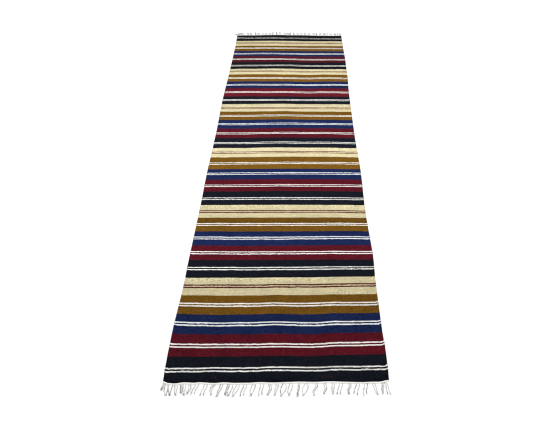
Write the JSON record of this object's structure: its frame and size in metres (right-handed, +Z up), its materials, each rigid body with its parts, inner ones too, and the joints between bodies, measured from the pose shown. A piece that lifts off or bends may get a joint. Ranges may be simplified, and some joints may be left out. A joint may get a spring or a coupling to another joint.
{
  "type": "kilim runner rug",
  "caption": "Long flatwoven floor runner in crosswise colour bands with pinstripes, lying flat, with a twined cord and knotted warp fringe at each end.",
  "frame": {"origin": "on the floor under the middle of the woven cloth", "axes": "+X across the rug to the right, +Y along it from the near end to the far end, +Z up from the floor"},
  "size_m": [0.931, 3.1838, 0.0054],
  "materials": {
    "striped_wool": "matt weft-faced flatweave in navy-black, maroon, blue, ochre and cream bands with thin paired pinstripes",
    "warp_cotton": "matt off-white plied cotton yarn"
  },
  "bodies": {
    "root": {"woven_runner": "striped_wool", "near_fringe": "warp_cotton", "far_fringe": "warp_cotton"}
  },
  "joints": []
}
